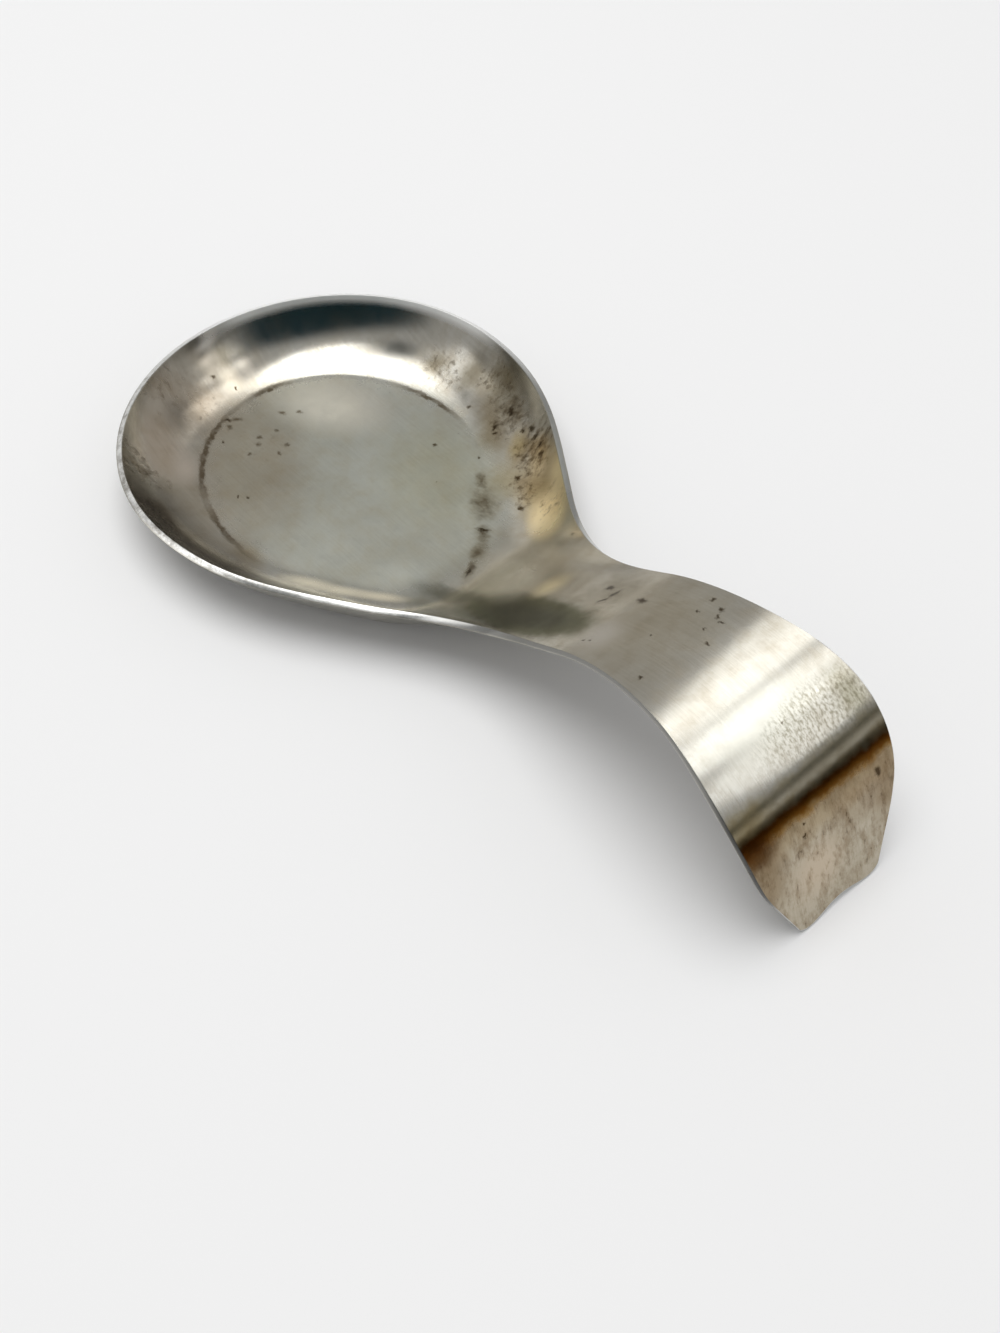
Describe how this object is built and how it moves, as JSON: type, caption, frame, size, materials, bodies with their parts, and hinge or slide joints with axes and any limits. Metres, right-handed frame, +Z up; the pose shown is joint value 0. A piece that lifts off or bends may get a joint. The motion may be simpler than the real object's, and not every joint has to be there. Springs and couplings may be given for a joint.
{
  "type": "spoon rest",
  "caption": "Pressed stainless-steel spoon rest: a flat-floored oval bowl, a neck that climbs out of it and an arched handle whose turned-down tail stands on the table.",
  "frame": {"origin": "on the table, under the middle of the bowl's floor", "axes": "+X along the handle towards the tail, +Y across the bowl, +Z up from the table"},
  "size_m": [0.2095, 0.1012, 0.0381],
  "materials": {
    "stainless_steel": "worn satin stainless steel with a lengthwise grain, stains and a heat tint across the tail"
  },
  "bodies": {
    "root": {"pressed_sheet": "stainless_steel"}
  },
  "joints": []
}
